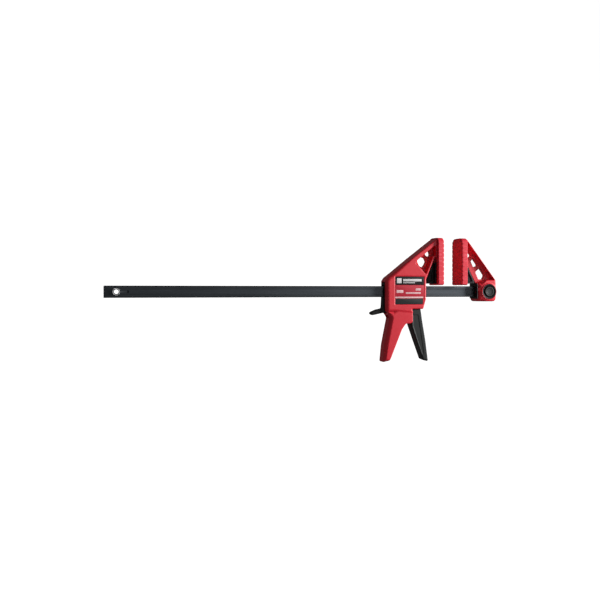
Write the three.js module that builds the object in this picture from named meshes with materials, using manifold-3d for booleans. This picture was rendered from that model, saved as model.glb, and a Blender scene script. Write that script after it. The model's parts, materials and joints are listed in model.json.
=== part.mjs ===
// One-handed trigger clamp: a steel bar with a fixed jaw at its end and a pistol-grip jaw that slides on it.
// Millimetres, +Z up, +X along the bar towards the fixed jaw, +Y towards the side with the screws.
// Shapes are drawn on the bar: x = 0 at the fixed pad's clamping face, y = 0 on the mid-plane and
// z = 0 on the bar's centre line. The whole model is then lowered so that its origin is the centre
// of that face.

import * as THREE from 'three';
import { mergeVertices } from 'three/addons/utils/BufferGeometryUtils.js';
import Module from 'manifold-3d';

const wasm = await Module();
wasm.setup();

// ---- driving dimensions ----
const GAP = 0.3; // clearance that touching pieces keep

const BAR_HEIGHT = 19;
const BAR_WIDTH = 6;
const BAR_START = -603; // free end of the bar
const BAR_END = 62; // end inside the fixed jaw
const GROOVE_HEIGHT = 8.5; // shallow groove along both sides of the bar
const GROOVE_DEPTH = 0.5;
const STOP_X = -584; // hollow stop pin through the free end
const STOP_OUTER_R = 5;
const STOP_BORE_R = 3.5;
const STOP_HALF_LENGTH = 6;
const PUNCH_X = -567; // punched dimple beside the stop pin
const PUNCH_R = 2.2;

const PAD_BOTTOM = 11.3;
const PAD_TOP = 94.2;
const PAD_HALF_WIDTH = 18.5;
const PAD_THICKNESS = 11;
const PAD_TOP_R = 11; // radius of the pad's upper corners
const PAD_BOTTOM_R = 3;
const PAD_MID_Z = (PAD_BOTTOM + PAD_TOP) / 2;
const OPENING = 34.3; // distance between the two clamping faces at rest

const BODY_HALF = 14; // half thickness of the pistol-grip body
const HANDLE_HALF = 13; // half thickness of the handle below it
const BODY_ROUND = 1.6; // rounding of the body's outer edges
const WALL_INNER = 11.8; // half width of the space inside the body
const CHANNEL_HALF = 10.4; // half width of the handle's open channel
const WEB_HALF = 3; // half thickness of the pierced webs of both jaws
const REAR_SLOT_HALF = 7.3; // half width of the release lever's slot
const REAR_SLOT_TOP = 16.6;
const PARTING = GAP / 2; // each shell stops this far from the mid-plane

const TRIGGER_PIVOT = [-86, 16]; // x, z
const TRIGGER_HALF = 9;
const TRIGGER_PIN_R = 2.4;
const FORK_HALF = 4.3; // half width of the trigger's fork over the bar

const LEVER_PIVOT = [-135, -26];
const LEVER_TILT = THREE.MathUtils.degToRad(3); // the brake leans towards the jaws while it holds
const LEVER_HALF = 6.5;
const LEVER_PIN_R = 1.5;

const BUTTON_X = 55.3;
const BUTTON_R = 8.9;
const BUTTON_RECESS_R = 5.6; // room for the spring and the pin's end
const COLLAR_R = 13.2;
const BOSS_R = 14.7;
const BOSS_FACE = 16; // how far the boss, the collar and the button reach to the near side
const COLLAR_FACE = 15.9;
const BUTTON_FACE = 17;
const COLLAR_FLOOR = 8.3; // the collar's inner end, from the mid-plane
const LOCK_PIN_R = 4.5;
const LOCK_PIN_NECK_R = 3;
const CLIP_R = 7.4;
const CLIP_Y = 12; // the clip's middle on the far side

const JAW_BLOCK_HALF = 14.5;
const BLOCK_FRONT = 34.5; // where the bar enters the block
const GUIDE_THICKNESS = 1.8;
const FLANGE_HALF = 12.8;
const CLIP_RECESS_FLOOR = 10.2;

// ---- finishes ----
function finish(color, roughness, metalness) {
  return new THREE.MeshStandardMaterial({ color, roughness, metalness });
}

const redPlastic = finish(0xc8142a, 0.42, 0);
const redPad = finish(0xd22238, 0.6, 0);
const blackPlastic = finish(0x1b1c1c, 0.5, 0);
const greyPlastic = finish(0x33373a, 0.55, 0);
const barSteel = finish(0x4d555a, 0.42, 0.8);
const brightSteel = finish(0x9a9ea3, 0.3, 1);
const springSteel = finish(0x6d7075, 0.35, 1);

// ---- helpers ----
// a closed geometry as a manifold-3d solid
function solid(geometry) {
  const plain = geometry.index ? geometry.toNonIndexed() : geometry.clone();
  plain.deleteAttribute('normal');
  plain.deleteAttribute('uv');
  const merged = mergeVertices(plain, 1e-4);
  const vertProperties = new Float32Array(merged.attributes.position.array);
  const triVerts = new Uint32Array(merged.index.array);
  return new wasm.Manifold(new wasm.Mesh({ numProp: 3, vertProperties, triVerts }));
}

// a manifold-3d solid back as a geometry
function geometryOf(body) {
  const mesh = body.getMesh();
  const geometry = new THREE.BufferGeometry();
  geometry.setAttribute('position', new THREE.BufferAttribute(new Float32Array(mesh.vertProperties), 3));
  geometry.setIndex(new THREE.BufferAttribute(new Uint32Array(mesh.triVerts), 1));
  return geometry;
}

// outline through corners [x, z] or [x, z, radius]; a corner with a radius is rounded
function outline(corners) {
  const shape = new THREE.Shape();
  const count = corners.length;
  for (let i = 0; i < count; i += 1) {
    const here = new THREE.Vector2(corners[i][0], corners[i][1]);
    const radius = corners[i][2] ?? 0;
    const before = corners[(i + count - 1) % count];
    const after = corners[(i + 1) % count];
    const back = new THREE.Vector2(before[0], before[1]).sub(here);
    const ahead = new THREE.Vector2(after[0], after[1]).sub(here);
    const half = back.angleTo(ahead) / 2;
    const reach = Math.min(radius / Math.tan(half), 0.48 * back.length(), 0.48 * ahead.length());
    const start = here.clone().addScaledVector(back.normalize(), reach);
    const end = here.clone().addScaledVector(ahead.normalize(), reach);
    if (i === 0) shape.moveTo(start.x, start.y);
    else shape.lineTo(start.x, start.y);
    if (radius > 0) shape.quadraticCurveTo(here.x, here.y, end.x, end.y);
  }
  shape.closePath();
  return shape;
}

// plate with an outline in x and z, from y0 to y1; round is the size of a two-step edge rounding
function plate(corners, y0, y1, round = 0) {
  const geometry = new THREE.ExtrudeGeometry(outline(corners), {
    depth: y1 - y0 - 2 * round,
    bevelEnabled: round > 0,
    bevelThickness: round,
    bevelSize: round,
    bevelOffset: -round,
    bevelSegments: 2,
    curveSegments: 4,
  });
  geometry.rotateX(Math.PI / 2);
  geometry.translate(0, y1 - round, 0);
  return solid(geometry);
}

// block between two corners
function box(x0, x1, y0, y1, z0, z1) {
  const geometry = new THREE.BoxGeometry(x1 - x0, y1 - y0, z1 - z0);
  geometry.translate((x0 + x1) / 2, (y0 + y1) / 2, (z0 + z1) / 2);
  return solid(geometry);
}

// round bar along y
function roundY(x, z, radius, y0, y1, segments = 20) {
  const geometry = new THREE.CylinderGeometry(radius, radius, y1 - y0, segments);
  geometry.translate(x, (y0 + y1) / 2, z);
  return solid(geometry);
}

// turned piece on an axis along y through (x, z); profile is [radius, y] pairs from axis to axis or closed
function turnedY(x, z, profile, segments = 24) {
  const points = profile.map(([radius, y]) => new THREE.Vector2(radius, y));
  const geometry = new THREE.LatheGeometry(points, segments);
  geometry.translate(x, 0, z);
  return solid(geometry);
}

// room for the bar with a clearance at its sides and one above and below it
function barRoom(x0, x1, side, above = side) {
  const halfW = BAR_WIDTH / 2 + side;
  const halfH = BAR_HEIGHT / 2 + above;
  return box(x0, x1, -halfW, halfW, -halfH, halfH);
}

const both = (make) => make(-1).add(make(1));

const joined = (first, ...others) => others.reduce((sum, next) => sum.add(next), first);

const cut = (first, ...others) => others.reduce((rest, next) => rest.subtract(next), first);

// coil spring along the z axis of its own space, from 0 to its length
function coil(radius, wire, length, turns) {
  class Helix extends THREE.Curve {
    getPoint(t, target = new THREE.Vector3()) {
      const angle = 2 * Math.PI * turns * t;
      return target.set(radius * Math.cos(angle), radius * Math.sin(angle), wire + (length - 2 * wire) * t);
    }
  }
  const section = new THREE.Shape();
  section.absarc(0, 0, wire, 0, 2 * Math.PI);
  return new THREE.ExtrudeGeometry(section, {
    steps: Math.round(turns * 16),
    curveSegments: 3,
    bevelEnabled: false,
    extrudePath: new Helix(),
  });
}

const clamp = new THREE.Group();
clamp.position.z = -PAD_MID_Z;

function place(name, shape, material, parent = clamp) {
  const geometry = shape.isBufferGeometry ? shape : geometryOf(shape);
  const mesh = new THREE.Mesh(geometry, material);
  mesh.name = name;
  parent.add(mesh);
  return mesh;
}

// ---- bar ----
function makeBar() {
  const halfH = BAR_HEIGHT / 2;
  const halfW = BAR_WIDTH / 2;
  const body = box(BAR_START, BAR_END, -halfW, halfW, -halfH, halfH);
  const groove = (side) => {
    const floor = side * (halfW - GROOVE_DEPTH);
    const outside = side * (halfW + 1);
    const [y0, y1] = [Math.min(floor, outside), Math.max(floor, outside)];
    return box(BAR_START - 1, BAR_END + 1, y0, y1, -GROOVE_HEIGHT / 2, GROOVE_HEIGHT / 2);
  };
  const stopHole = roundY(STOP_X, 0, STOP_OUTER_R + GAP, -10, 10);
  const lockHole = roundY(BUTTON_X, 0, LOCK_PIN_R + GAP, -10, 10);
  const punch = roundY(PUNCH_X, 0, PUNCH_R, -halfW - 1, -halfW + GROOVE_DEPTH + 0.6, 12);
  return cut(body, both(groove), stopHole, lockHole, punch);
}

function makeStopPin() {
  const y = STOP_HALF_LENGTH;
  const edge = 0.6;
  return turnedY(STOP_X, 0, [
    [STOP_BORE_R, -y], [STOP_OUTER_R - edge, -y], [STOP_OUTER_R, -y + edge],
    [STOP_OUTER_R, y - edge], [STOP_OUTER_R - edge, y], [STOP_BORE_R, y], [STOP_BORE_R, -y],
  ]);
}

// ---- pads ----
// soft pad with its clamping face towards side: -1 faces -x, 1 faces +x
function makePad(faceX, side) {
  const w = PAD_HALF_WIDTH;
  const corners = [
    [-w, PAD_BOTTOM, PAD_BOTTOM_R], [w, PAD_BOTTOM, PAD_BOTTOM_R],
    [w, PAD_TOP, PAD_TOP_R], [-w, PAD_TOP, PAD_TOP_R],
  ];
  const geometry = new THREE.ExtrudeGeometry(outline(corners), {
    depth: PAD_THICKNESS,
    bevelEnabled: false,
    curveSegments: 5,
  });
  geometry.applyMatrix4(new THREE.Matrix4().set(0, 0, 1, 0, 1, 0, 0, 0, 0, 1, 0, 0, 0, 0, 0, 1)); // x, y to y, z
  geometry.translate(side < 0 ? faceX : faceX - PAD_THICKNESS, 0, 0);
  return solid(geometry);
}

// ---- fixed jaw ----
const fixedBack = PAD_THICKNESS + GAP; // the plane behind the fixed pad
const fixedWebOutline = [
  [fixedBack, 91.5], [14, 91.5, 1.5], [69.6, 21.5], [69.6, 0], [34.8, 0], [34.8, 15.2, 2],
  [15.2, 52.4, 2], [fixedBack, 58.5],
];
const fixedPocket = [[13.6, 50], [32, 14], [36.5, 18.5, 1.5], [66.6, 21.4, 1], [15, 86.4, 1], [13.6, 86.4, 1]];
const fixedHoles = [
  [[17.4, 61.5, 1], [22.6, 60.6, 1], [25.6, 64.4, 1.5], [21.6, 70, 1.5], [17.4, 71, 1]],
  [[26.2, 53.5, 1.5], [31, 43.4, 1.5], [38.6, 45.8, 1.5], [37.4, 49.5, 1.5], [29.6, 59.6, 1.5]],
  [[35.2, 35, 2], [41.4, 21.8, 3], [49, 21.8, 3], [52.6, 29, 3], [43.6, 41.8, 3]],
];
const fixedBlock = [
  [BLOCK_FRONT, 14.6, 3], [BLOCK_FRONT, -17.6, 5], [70, -17.6, 7], [70, 20.5, 3], [52, 20.5, 3],
];

function makeFixedJaw() {
  const web = plate(fixedWebOutline, -FLANGE_HALF, FLANGE_HALF);
  const pocket = (side) => plate(fixedPocket, side < 0 ? -20 : WEB_HALF, side < 0 ? -WEB_HALF : 20);
  const pierced = cut(web, both(pocket), ...fixedHoles.map((hole) => plate(hole, -20, 20)));
  const block = plate(fixedBlock, -JAW_BLOCK_HALF, JAW_BLOCK_HALF, 1.6);
  const boss = turnedY(BUTTON_X, 0, [
    [0, -BOSS_FACE], [BOSS_R - 0.6, -BOSS_FACE], [BOSS_R, 0.6 - BOSS_FACE], [BOSS_R, -10], [0, -10],
  ], 32);
  const barSocket = barRoom(30, BAR_END + GAP, GAP);
  const collarBore = roundY(BUTTON_X, 0, COLLAR_R + GAP, -20, GAP - COLLAR_FLOOR, 32);
  const pinBore = roundY(BUTTON_X, 0, LOCK_PIN_R + GAP, -20, 20);
  const clipRecess = roundY(BUTTON_X, 0, CLIP_R + 0.9, CLIP_RECESS_FLOOR, 20);
  return cut(joined(pierced, block, boss), barSocket, collarBore, pinBore, clipRecess);
}

// ---- carriers: black rails that hold the pads ----
// a rail behind the pad's lower half with a three-cornered gusset; side -1 is the sliding jaw, 1 the fixed jaw
function makeCarrier(backX, side) {
  const at = (x, z, radius = 0) => [backX + side * x, z, radius];
  const rail = plate([at(GAP, 14), at(GAP, 51), at(3.2, 51), at(3.2, 14)], -11.5, 11.5);
  const gusset = plate([at(2, 14), at(2, 50), at(4.6, 49.5), at(20.4, 18.2), at(20.4, 14)], -5.5, 5.5);
  return rail.add(gusset);
}

// black plate that lines the fixed jaw's block where the bar enters it
function makeBarGuide() {
  const face = BLOCK_FRONT - GAP;
  return box(face - GUIDE_THICKNESS, face, -13, 13, -12.6, 14.8).subtract(barRoom(0, BAR_END, GAP));
}

// ---- lock button ----
function makeCollar() {
  const inner = BUTTON_R + GAP;
  const pinHole = LOCK_PIN_NECK_R + 2 * GAP;
  return turnedY(BUTTON_X, 0, [
    [inner, -COLLAR_FACE], [COLLAR_R - 0.6, -COLLAR_FACE], [COLLAR_R, 0.6 - COLLAR_FACE],
    [COLLAR_R, -COLLAR_FLOOR], [pinHole, -COLLAR_FLOOR], [pinHole, -COLLAR_FLOOR - 1],
    [inner, -COLLAR_FLOOR - 1], [inner, -COLLAR_FACE],
  ], 32);
}

function makeButton() {
  const inner = 3.4 - BUTTON_FACE;
  const roof = 1.6 - BUTTON_FACE;
  return turnedY(BUTTON_X, 0, [
    [0, 0.4 - BUTTON_FACE], [4, 0.3 - BUTTON_FACE], [BUTTON_R - 0.8, -BUTTON_FACE],
    [BUTTON_R, 0.8 - BUTTON_FACE], [BUTTON_R, inner], [0, inner],
  ], 32).subtract(roundY(BUTTON_X, 0, BUTTON_RECESS_R, roof, inner + 1));
}

function makeLockPin() {
  const neck = LOCK_PIN_NECK_R;
  return turnedY(BUTTON_X, 0, [
    [0, 2 - BUTTON_FACE], [neck, 2 - BUTTON_FACE], [neck, -8], [LOCK_PIN_R, -7.4],
    [LOCK_PIN_R, CLIP_Y - 0.6], [neck, CLIP_Y - 0.6], [neck, CLIP_Y + 0.6], [LOCK_PIN_R, CLIP_Y + 0.6],
    [LOCK_PIN_R, CLIP_Y + 1.4], [LOCK_PIN_R - 0.6, CLIP_Y + 2], [0, CLIP_Y + 2],
  ], 20);
}

function makePinClip() {
  const inner = LOCK_PIN_NECK_R + GAP;
  const [y0, y1] = [CLIP_Y - 0.3, CLIP_Y + 0.3];
  return turnedY(BUTTON_X, 0, [[inner, y0], [CLIP_R, y0], [CLIP_R, y1], [inner, y1], [inner, y0]], 20);
}

// ---- pistol-grip body: two shells that meet on the mid-plane ----
const slidingBack = -OPENING - PAD_THICKNESS - GAP; // the plane behind the sliding pad
const bodyOutline = [
  [-137.6, 24, 3], [-48.5, 90.4, 3], [slidingBack, 91.5], [slidingBack, 59], [-50.6, 59, 2.5],
  [-66.3, 21, 4], [-66.3, -12.5, 3], [-71.4, -30.2, 2.6], [-92, -30.2], [-92, -36],
  [-137.5, -36], [-141.3, -33, 2], [-141.3, 18.3, 3],
];
const handleOutline = [
  [-140.4, -33], [-91, -33], [-91, -52.5, 3], [-96.5, -55.3, 3], [-103.6, -55, 5], [-111, -65, 8],
  [-131, -112.8, 2.5], [-133.3, -117.4, 2.5], [-145.6, -121.6, 2.5], [-142.4, -91, 6], [-132.8, -45, 4],
];
const jawPocket = [
  [-48, 62.4, 1], [-52.9, 62.4, 1], [-66.6, 29.5, 2.5], [-76.5, 39.5, 4], [-87.6, 50.5, 4],
  [-53, 78.2, 2], [-48, 79.5, 1.5],
];
const jawHoleLarge = [
  [-80.4, 54, 6], [-74.6, 60.4, 6], [-63.8, 59.4, 6], [-60.8, 50.4, 5], [-68.6, 41.2, 4], [-75.6, 44.6, 4],
];
const jawHoleSmall = [[-65.4, 64, 4], [-63.2, 71, 4], [-55, 71.6, 4], [-53.4, 63, 4], [-58.4, 60.4, 4]];
const innerSpace = [
  [-131, -27], [-131, 25.6], [-94, 52.6], [-79, 38.4], [-72.2, 26], [-69.6, 20], [-69.6, -13],
  [-74, -29], [-74, -31], [-118, -31],
];
const channelOutline = [
  [-60, -60], [-73.4, -29.5], [-78, -22], [-117, -22], [-129.4, -40], [-129.4, -47], [-141.6, -105],
  [-139.2, -113.6], [-128, -113.6], [-105, -75],
];
const screwPlaces = [[-120, 29], [-78.6, 31.6], [-137.6, -109], [-128.6, -54.4]];
const SCREW_BOSS_R = 3.5;
const SCREW_R = 1.5;
const SCREW_HEAD_R = 2.9;
const RECESS_DEPTH = 1.1; // of the name plate and the insert
const labelBox = [-124.4, -71, 11.2, 26.2]; // x0, x1, z0, z1
const insertBox = [-124.4, -73, -22.2, -11.8];

function makeShell(side) {
  const span = (a, b) => (side < 0 ? [-b, -a] : [a, b]);
  const body = plate(bodyOutline, -BODY_HALF, BODY_HALF, BODY_ROUND);
  const handle = plate(handleOutline, -HANDLE_HALF, HANDLE_HALF, BODY_ROUND);
  const otherHalf = box(-300, 300, ...span(-40, PARTING), -300, 300);
  const pocket = plate(jawPocket, ...span(WEB_HALF, 40));
  const holes = plate(jawHoleLarge, -40, 40).add(plate(jawHoleSmall, -40, 40));
  const inside = plate(innerSpace, -WALL_INNER, WALL_INNER);
  const channel = plate(channelOutline, -CHANNEL_HALF, CHANNEL_HALF);
  const rearSlot = box(-150, -130.5, -REAR_SLOT_HALF, REAR_SLOT_HALF, -45, REAR_SLOT_TOP);
  const springRoom = box(-131.5, -117, -8, 8, -40, -26);
  const recess = ([x0, x1, z0, z1]) => box(x0, x1, ...span(BODY_HALF - RECESS_DEPTH, 40), z0, z1);
  const hollow = joined(pocket, holes, inside, channel, rearSlot, springRoom);
  const outside = cut(joined(body, handle), otherHalf, hollow, recess(labelBox), recess(insertBox));

  // an inner rib guides the bar and takes the drive spring, a lower one takes the brake spring
  const innerWall = span(PARTING, WALL_INNER + 0.5);
  const rib = box(-121.6, -119, ...innerWall, -30, 33);
  const springRib = box(-123.6, -121.4, ...innerWall, -38, -27);
  const seat = roundY(...TRIGGER_PIVOT, 5.2, ...span(TRIGGER_HALF + 0.2, WALL_INNER + 0.5));
  let shell = joined(outside, rib, springRib, seat);
  for (const [x, z] of screwPlaces) {
    shell = shell.add(roundY(x, z, SCREW_BOSS_R, ...span(PARTING, WALL_INNER - 0.4), 14));
  }
  for (const [x, z] of screwPlaces) {
    shell = shell.subtract(roundY(x, z, SCREW_R + GAP, ...span(0, side < 0 ? 9 : 20), 12));
    if (side > 0) shell = shell.subtract(roundY(x, z, SCREW_HEAD_R + GAP, 8, 20, 16));
  }
  const triggerPinHole = roundY(...TRIGGER_PIVOT, TRIGGER_PIN_R + GAP, -12.6, 12.6);
  const leverPinHole = roundY(...LEVER_PIVOT, LEVER_PIN_R + GAP, -12.6, 12.6, 14);
  return cut(shell, barRoom(-300, 300, 0.5), triggerPinHole, leverPinHole);
}

function makeScrew(x, z) {
  const screw = turnedY(x, z, [
    [0, -8.4], [SCREW_R, -7.4], [SCREW_R, 8.3], [SCREW_HEAD_R, 8.3], [SCREW_HEAD_R, 9.6],
    [2, 10.4], [0, 10.4],
  ], 14);
  const slotAlong = box(x - 2, x + 2, 9.6, 12, z - 0.4, z + 0.4);
  const slotAcross = box(x - 0.4, x + 0.4, 9.6, 12, z - 2, z + 2);
  return cut(screw, slotAlong, slotAcross);
}

function makeNamePlate([x0, x1, z0, z1], side, thickness) {
  const outer = BODY_HALF - RECESS_DEPTH + GAP + thickness;
  const inner = outer - thickness;
  return box(x0 + GAP, x1 - GAP, side < 0 ? -outer : inner, side < 0 ? -inner : outer, z0 + GAP, z1 - GAP);
}

// ---- trigger ----
const triggerOutline = [
  [-92.6, 14, 4], [-88, 23, 4], [-83, 23, 4], [-79, 14, 4], [-77.4, -12], [-74.4, -32], [-65.2, -84],
  [-60.4, -119, 1.5], [-61.6, -121.4, 1.5], [-70.6, -117.6, 2], [-83.6, -83], [-93, -57.5, 3],
  [-92, -18], [-94.9, -15], [-94.9, -10.6], [-92.6, -9],
];

// the room that the fork leaves for the bar
const forkOutline = [[-110, 40], [-110, -17], [-96, -17], [-78, -10.4], [-60, -10.4], [-60, 40]];

function makeTrigger() {
  const lever = plate(triggerOutline, -TRIGGER_HALF, TRIGGER_HALF, 1);
  const fork = plate(forkOutline, -FORK_HALF, FORK_HALF);
  const bore = roundY(...TRIGGER_PIVOT, TRIGGER_PIN_R + GAP, -20, 20);
  return cut(lever, fork, bore);
}

function makePin(x, z, radius, halfLength) {
  const edge = 0.4;
  return turnedY(x, z, [
    [0, -halfLength], [radius - edge, -halfLength], [radius, -halfLength + edge],
    [radius, halfLength - edge], [radius - edge, halfLength], [0, halfLength],
  ], 18);
}

// ---- drive plates ----
function makeDrivePlate(x0, x1) {
  return box(x0, x1, -8, 8, -15.2, 14.6).subtract(barRoom(-300, 300, 0.4));
}

// ---- brake ----
const leverArm = [
  [-143.7, 15.2, 1.5], [-139.2, 15.2], [-139.2, -20], [-132.4, -21.4, 3], [-130.6, -27, 3],
  [-131.6, -36.4, 2], [-143.5, -37, 3], [-161.5, -41.6, 2], [-165, -39.2, 2], [-163.4, -36.4, 2],
  [-154, -32, 6], [-143.7, -29.2, 3],
];

function makeReleaseLever() {
  const arm = plate(leverArm, -LEVER_HALF, LEVER_HALF, 0.8);
  const bore = roundY(...LEVER_PIVOT, LEVER_PIN_R + GAP, -20, 20, 14);
  return cut(arm, barRoom(-160, -100, 0.9, 1.6), bore);
}

function makeBrakePlate() {
  return box(-138.9, -135.9, -LEVER_HALF, LEVER_HALF, -19.6, 14.4).subtract(barRoom(-160, -100, 0.7, 1.2));
}

// ---- assembly ----
place('bar', makeBar(), barSteel);
place('stop_pin', makeStopPin(), barSteel);
place('fixed_jaw', makeFixedJaw(), redPlastic);
place('fixed_pad_carrier', makeCarrier(PAD_THICKNESS, 1), blackPlastic);
place('fixed_bar_guide', makeBarGuide(), blackPlastic);
place('fixed_pad', makePad(0, -1), redPad);

place('button_collar', makeCollar(), blackPlastic);
place('button_cap', makeButton(), greyPlastic);
place('lock_pin', makeLockPin(), brightSteel);
place('lock_pin_clip', makePinClip(), springSteel);
const buttonSpring = place('button_spring', coil(4.6, 0.3, 5.4, 2), springSteel);
buttonSpring.rotation.x = -Math.PI / 2;
buttonSpring.position.set(BUTTON_X, 2 - BUTTON_FACE, 0);

place('near_shell', makeShell(-1), redPlastic);
place('far_shell', makeShell(1), redPlastic);
screwPlaces.forEach(([x, z], i) => place(`shell_screw_${i + 1}`, makeScrew(x, z), brightSteel));
place('near_name_plate', makeNamePlate(labelBox, -1, 0.8), blackPlastic);
place('far_name_plate', makeNamePlate(labelBox, 1, 0.8), blackPlastic);
place('near_side_insert', makeNamePlate(insertBox, -1, 0.6), greyPlastic);
place('far_side_insert', makeNamePlate(insertBox, 1, 0.6), greyPlastic);
place('sliding_pad_carrier', makeCarrier(-OPENING - PAD_THICKNESS, -1), blackPlastic);
place('sliding_pad', makePad(-OPENING, 1), redPad);
place('trigger_pin', makePin(...TRIGGER_PIVOT, TRIGGER_PIN_R, 12.2), brightSteel);
place('lever_pin', makePin(...LEVER_PIVOT, LEVER_PIN_R, 12.2), brightSteel);

place('trigger', makeTrigger(), greyPlastic);

place('drive_plate_front', makeDrivePlate(-98.2, -95.4), brightSteel);
place('drive_plate_rear', makeDrivePlate(-101.4, -98.6), brightSteel);
const driveSpring = place('drive_spring', coil(10.9, 0.45, 16.8, 4), springSteel);
driveSpring.rotation.y = Math.PI / 2;
driveSpring.position.set(-118.6, 0, 0);

// the brake turns with its pivot, so it leans by LEVER_TILT at rest
const brake = new THREE.Group();
brake.position.set(LEVER_PIVOT[0], 0, LEVER_PIVOT[1]);
brake.rotation.y = LEVER_TILT;
clamp.add(brake);
const lever = place('release_lever', makeReleaseLever(), blackPlastic, brake);
const brakePlate = place('brake_plate', makeBrakePlate(), brightSteel, brake);
for (const piece of [lever, brakePlate]) piece.position.set(-LEVER_PIVOT[0], 0, -LEVER_PIVOT[1]);
const brakeSpring = place('brake_spring', coil(2.6, 0.4, 6.4, 4), springSteel);
brakeSpring.rotation.y = Math.PI / 2;
brakeSpring.position.set(-130.4, 0, -33.5);

export default clamp;
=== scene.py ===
import json
import math

import bpy
import numpy as np
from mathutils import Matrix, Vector

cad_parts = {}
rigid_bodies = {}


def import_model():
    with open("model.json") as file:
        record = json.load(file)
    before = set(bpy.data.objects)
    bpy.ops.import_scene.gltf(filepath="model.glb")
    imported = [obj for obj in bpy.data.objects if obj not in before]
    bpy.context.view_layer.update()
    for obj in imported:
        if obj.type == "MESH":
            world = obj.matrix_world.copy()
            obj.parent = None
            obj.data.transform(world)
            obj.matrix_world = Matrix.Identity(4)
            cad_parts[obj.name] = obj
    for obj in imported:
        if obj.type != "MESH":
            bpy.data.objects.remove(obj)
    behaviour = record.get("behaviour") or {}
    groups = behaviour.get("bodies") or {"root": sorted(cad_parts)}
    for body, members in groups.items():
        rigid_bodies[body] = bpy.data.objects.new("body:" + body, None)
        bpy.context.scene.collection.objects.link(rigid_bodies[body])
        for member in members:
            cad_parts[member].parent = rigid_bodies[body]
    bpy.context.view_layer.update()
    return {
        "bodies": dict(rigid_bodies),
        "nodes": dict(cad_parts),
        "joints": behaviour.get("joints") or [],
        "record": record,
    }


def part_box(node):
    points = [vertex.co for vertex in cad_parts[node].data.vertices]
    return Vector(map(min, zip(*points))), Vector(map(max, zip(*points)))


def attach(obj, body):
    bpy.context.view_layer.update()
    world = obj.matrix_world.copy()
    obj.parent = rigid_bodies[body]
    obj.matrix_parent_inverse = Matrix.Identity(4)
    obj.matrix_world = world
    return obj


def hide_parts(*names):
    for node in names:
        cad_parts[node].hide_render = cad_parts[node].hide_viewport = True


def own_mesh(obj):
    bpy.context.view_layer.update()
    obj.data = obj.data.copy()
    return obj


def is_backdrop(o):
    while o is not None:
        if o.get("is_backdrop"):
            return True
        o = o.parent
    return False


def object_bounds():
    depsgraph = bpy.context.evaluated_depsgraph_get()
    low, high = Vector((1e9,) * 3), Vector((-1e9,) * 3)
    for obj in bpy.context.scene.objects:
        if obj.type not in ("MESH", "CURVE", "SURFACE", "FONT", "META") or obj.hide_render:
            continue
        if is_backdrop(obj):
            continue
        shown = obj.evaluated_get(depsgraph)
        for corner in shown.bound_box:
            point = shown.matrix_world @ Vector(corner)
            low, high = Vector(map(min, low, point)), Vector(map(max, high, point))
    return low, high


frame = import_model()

# One-handed trigger clamp. Shapes are worked out in millimetres on the bar: x = 0 at the fixed pad's face,
# y = 0 on the mid-plane, z = 0 on the bar's centre line. toMetres() takes them to metres in the CAD frame.
mm = 1000.0


def cornersOf(node):  # lowest and highest corner of a CAD node in millimetres, in the CAD frame
    return [np.array(corner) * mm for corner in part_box(node)]


barLow, barHigh = cornersOf("bar")
barCentre = (barLow[2] + barHigh[2]) / 2


def toMetres(points):  # millimetres on the bar to metres in the CAD frame
    return (np.asarray(points, float) + [0, 0, barCentre]) / mm


def onBar(node):  # a CAD node's corners in millimetres on the bar
    return [corner - [0, 0, barCentre] for corner in cornersOf(node)]


def middleOf(node):
    low, high = onBar(node)
    return (low + high) / 2


# shader tools
class Wire:  # an output socket of a material, on which + - and * add Math nodes
    def __init__(self, paint, socket):
        self.paint, self.socket = paint, socket

    def sum(self, kind, first, second):
        return self.paint.add("ShaderNodeMath", {"operation": kind}, {0: first, 1: second})

    def __add__(self, other):
        return self.sum("ADD", self, other)

    def __sub__(self, other):
        return self.sum("SUBTRACT", self, other)

    def __rsub__(self, other):
        return self.sum("SUBTRACT", other, self)

    def __mul__(self, other):
        return self.sum("MULTIPLY", self, other)

    __radd__ = __add__
    __rmul__ = __mul__


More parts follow.
